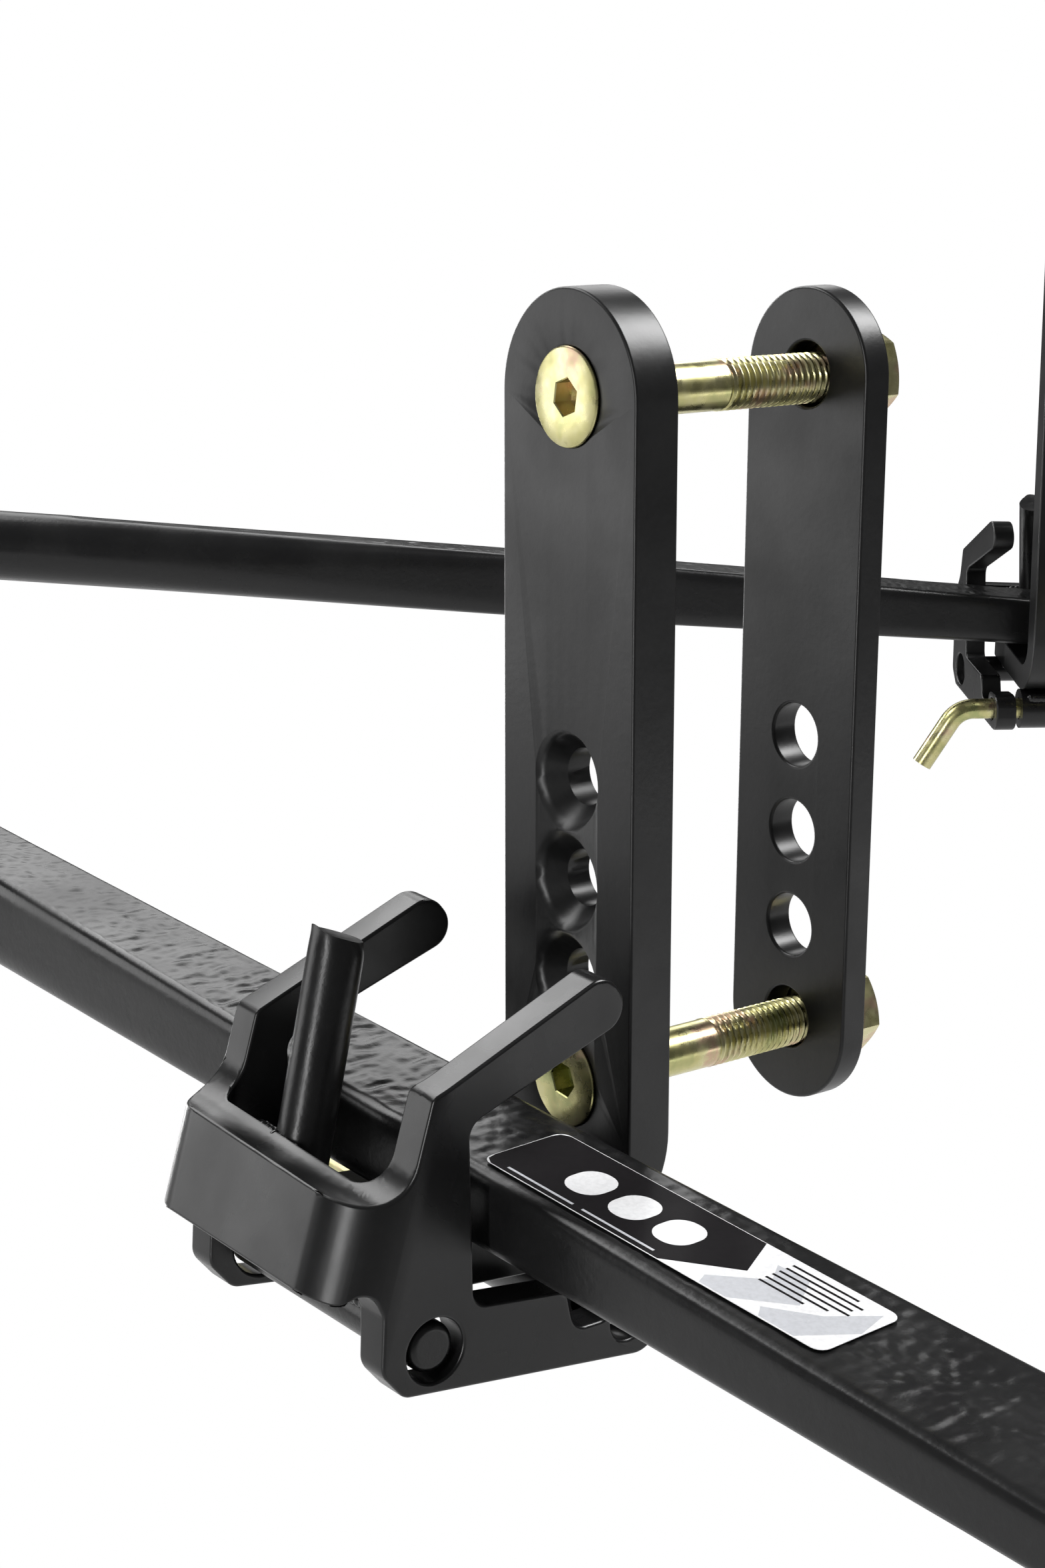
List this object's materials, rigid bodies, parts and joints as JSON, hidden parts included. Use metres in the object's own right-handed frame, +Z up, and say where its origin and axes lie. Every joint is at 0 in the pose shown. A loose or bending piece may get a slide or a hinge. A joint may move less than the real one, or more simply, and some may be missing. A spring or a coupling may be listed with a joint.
{
  "type": "weight distribution hitch",
  "caption": "Towing hitch with a ball head on a square drawbar, swinging spring bars, and lift brackets that clamp to the trailer's frame rails.",
  "frame": {"origin": "centre of the hitch pin hole in the drawbar", "axes": "+X runs back from the tow vehicle to the trailer, +Z is up, and the left side is -Y"},
  "size_m": [1.1242, 0.9902, 0.3796],
  "materials": {
    "coat": "semi-gloss black powder coat",
    "yellow_zinc": "yellow zinc plate on steel",
    "ball_chrome": "polished",
    "plain_zinc": "bright zinc plate",
    "label": "printed vinyl"
  },
  "bodies": {
    "head": {"drawbar_shank": "coat", "drawbar_upright": "coat", "drawbar_gussets": "coat", "head_cheek_left": "coat", "head_cheek_right": "coat", "bar_socket_left": "coat", "bar_socket_right": "coat", "ball_platform": "coat", "tow_ball": "ball_chrome", "ball_lock_washer": "plain_zinc", "ball_nut": "plain_zinc", "head_bolts": "plain_zinc", "head_bolt_nuts": "plain_zinc", "head_bolt_washers": "plain_zinc", "tilt_block": "coat", "tilt_pin": "plain_zinc", "tilt_washers": "plain_zinc"},
    "bar_left": {"spring_bar_left": "coat", "bar_label_left": "label", "thrust_washer_left": "plain_zinc", "bar_clip_left": "yellow_zinc"},
    "bracket_left": {"hanger_plate_left": "coat", "clamp_bolts_left": "yellow_zinc", "hinge_rod_left": "coat", "lock_pin_tube_left": "coat"},
    "clamp_left": {"backing_plate_left": "coat", "clamp_nuts_left": "yellow_zinc"},
    "yoke_left": {"yoke_left": "coat", "lever_post_left": "coat"},
    "lock_pin_left": {"lock_pin_left": "yellow_zinc"},
    "bar_right": {"spring_bar_right": "coat", "bar_label_right": "label", "thrust_washer_right": "plain_zinc", "bar_clip_right": "yellow_zinc"},
    "bracket_right": {"hanger_plate_right": "coat", "clamp_bolts_right": "yellow_zinc", "hinge_rod_right": "coat", "lock_pin_tube_right": "coat", "yoke_right": "coat", "lever_post_right": "coat"},
    "clamp_right": {"backing_plate_right": "coat", "clamp_nuts_right": "yellow_zinc"},
    "lock_pin_right": {"lock_pin_right": "yellow_zinc"}
  },
  "joints": [
    {"name": "bar_swing_left", "type": "hinge", "parent": "head", "child": "bar_left", "pos_m": [0.25, -0.0617, -0.046], "axis": [0, 0, 1], "range_deg": [-35, 35]},
    {"name": "bracket_slide_left", "type": "slide", "parent": "bar_left", "child": "bracket_left", "axis": [0.8915, -0.4484, -0.0649], "range_m": [-0.09, 0.03]},
    {"name": "clamp_close_left", "type": "slide", "parent": "bracket_left", "child": "clamp_left", "axis": [-0.5165, -0.8563, 0], "range_m": [0, 0.0104]},
    {"name": "yoke_swing_left", "type": "hinge", "parent": "bracket_left", "child": "yoke_left", "pos_m": [0.84138, -0.39395, -0.199], "axis": [0.8563, -0.5165, 0], "range_deg": [0, 18]},
    {"name": "lock_pin_pull_left", "type": "slide", "parent": "yoke_left", "child": "lock_pin_left", "axis": [-0.8563, 0.5165, 0], "range_m": [-0.0655, 0]},
    {"name": "bar_swing_right", "type": "hinge", "parent": "head", "child": "bar_right", "pos_m": [0.25, 0.0617, -0.046], "axis": [0, 0, 1], "range_deg": [-35, 35]},
    {"name": "bracket_slide_right", "type": "slide", "parent": "bar_right", "child": "bracket_right", "axis": [0.8915, 0.4484, -0.0649], "range_m": [-0.09, 0.03]},
    {"name": "clamp_close_right", "type": "slide", "parent": "bracket_right", "child": "clamp_right", "axis": [-0.421, 0.907, 0], "range_m": [0, 0.0104]},
    {"name": "lock_pin_pull_right", "type": "slide", "parent": "bracket_right", "child": "lock_pin_right", "axis": [-0.907, -0.421, 0], "range_m": [0, 0.0655]}
  ]
}
